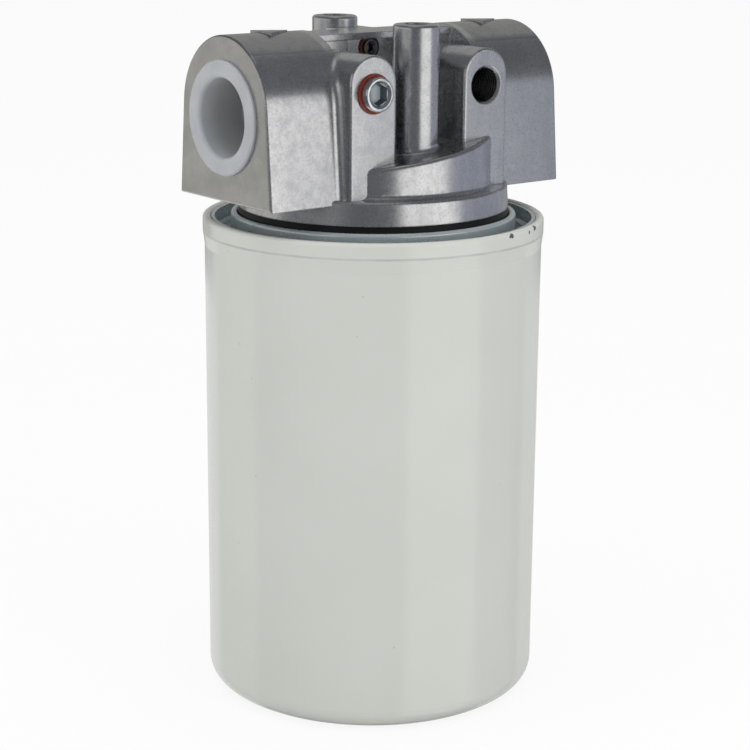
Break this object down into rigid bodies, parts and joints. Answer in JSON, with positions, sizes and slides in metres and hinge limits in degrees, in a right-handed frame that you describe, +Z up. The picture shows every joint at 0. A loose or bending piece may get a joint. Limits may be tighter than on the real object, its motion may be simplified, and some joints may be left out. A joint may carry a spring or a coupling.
{
  "type": "hydraulic suction filter",
  "caption": "Spin-on suction filter: cast head with two in-line ports, gauge tappings, mounting posts and a bypass valve, over a painted canister with a pleated element.",
  "frame": {"origin": "centre of the canister's bottom, where the filter stands", "axes": "+Z up the canister's axis, +X along the ports from inlet to outlet, -Y towards the gauge tappings"},
  "size_m": [0.1042, 0.0974, 0.194],
  "materials": {
    "can_paint": "semi-gloss pale grey paint",
    "zinc_sheet": "galvanised sheet, dulled to blue-grey",
    "plain_steel": "plain machined steel",
    "spring_steel": "drawn spring wire",
    "black_rubber": "smooth moulded rubber",
    "filter_paper": "resin-treated pleated paper",
    "cast_aluminium": "die-cast, tumbled, with milled faces",
    "zinc_screw": "bright zinc plating",
    "red_seal": "red sealing ring",
    "valve_brass": "turned brass",
    "cover_plastic": "milky polyethylene, slightly grey"
  },
  "bodies": {
    "canister": {"can_shell": "can_paint", "seam_lid": "zinc_sheet", "can_gasket": "black_rubber", "base_plate": "plain_steel", "element_top_cap": "zinc_sheet", "element_grommet": "black_rubber", "element_bottom_cap": "zinc_sheet", "core_tube": "zinc_sheet", "pleated_media": "filter_paper", "spring_seat": "plain_steel", "element_spring": "spring_steel"},
    "head": {"head_casting": "cast_aluminium", "spigot": "plain_steel", "gauge_plug": "zinc_screw", "gauge_seal": "red_seal", "tap_plug": "plain_steel", "tap_seal": "red_seal", "valve_body": "valve_brass", "valve_retainer": "valve_brass", "bypass_spring": "spring_steel"},
    "poppet": {"bypass_poppet": "valve_brass"},
    "inlet_cover": {"inlet_cover": "cover_plastic"},
    "outlet_cover": {"outlet_cover": "cover_plastic"}
  },
  "joints": [
    {"name": "head_lift", "type": "slide", "parent": "canister", "child": "head", "axis": [0, 0, 1], "range_m": [0, 0.045]},
    {"name": "inlet_cover_pull", "type": "slide", "parent": "head", "child": "inlet_cover", "axis": [-1, 0, 0], "range_m": [0, 0.025]},
    {"name": "outlet_cover_pull", "type": "slide", "parent": "head", "child": "outlet_cover", "axis": [1, 0, 0], "range_m": [0, 0.025]},
    {"name": "bypass_open", "type": "slide", "parent": "head", "child": "poppet", "axis": [0, 0, 1], "range_m": [0, 0.0035], "stiffness_N_per_m": 300, "springref_m": -0.0033, "deforming": ["bypass_spring"]}
  ]
}
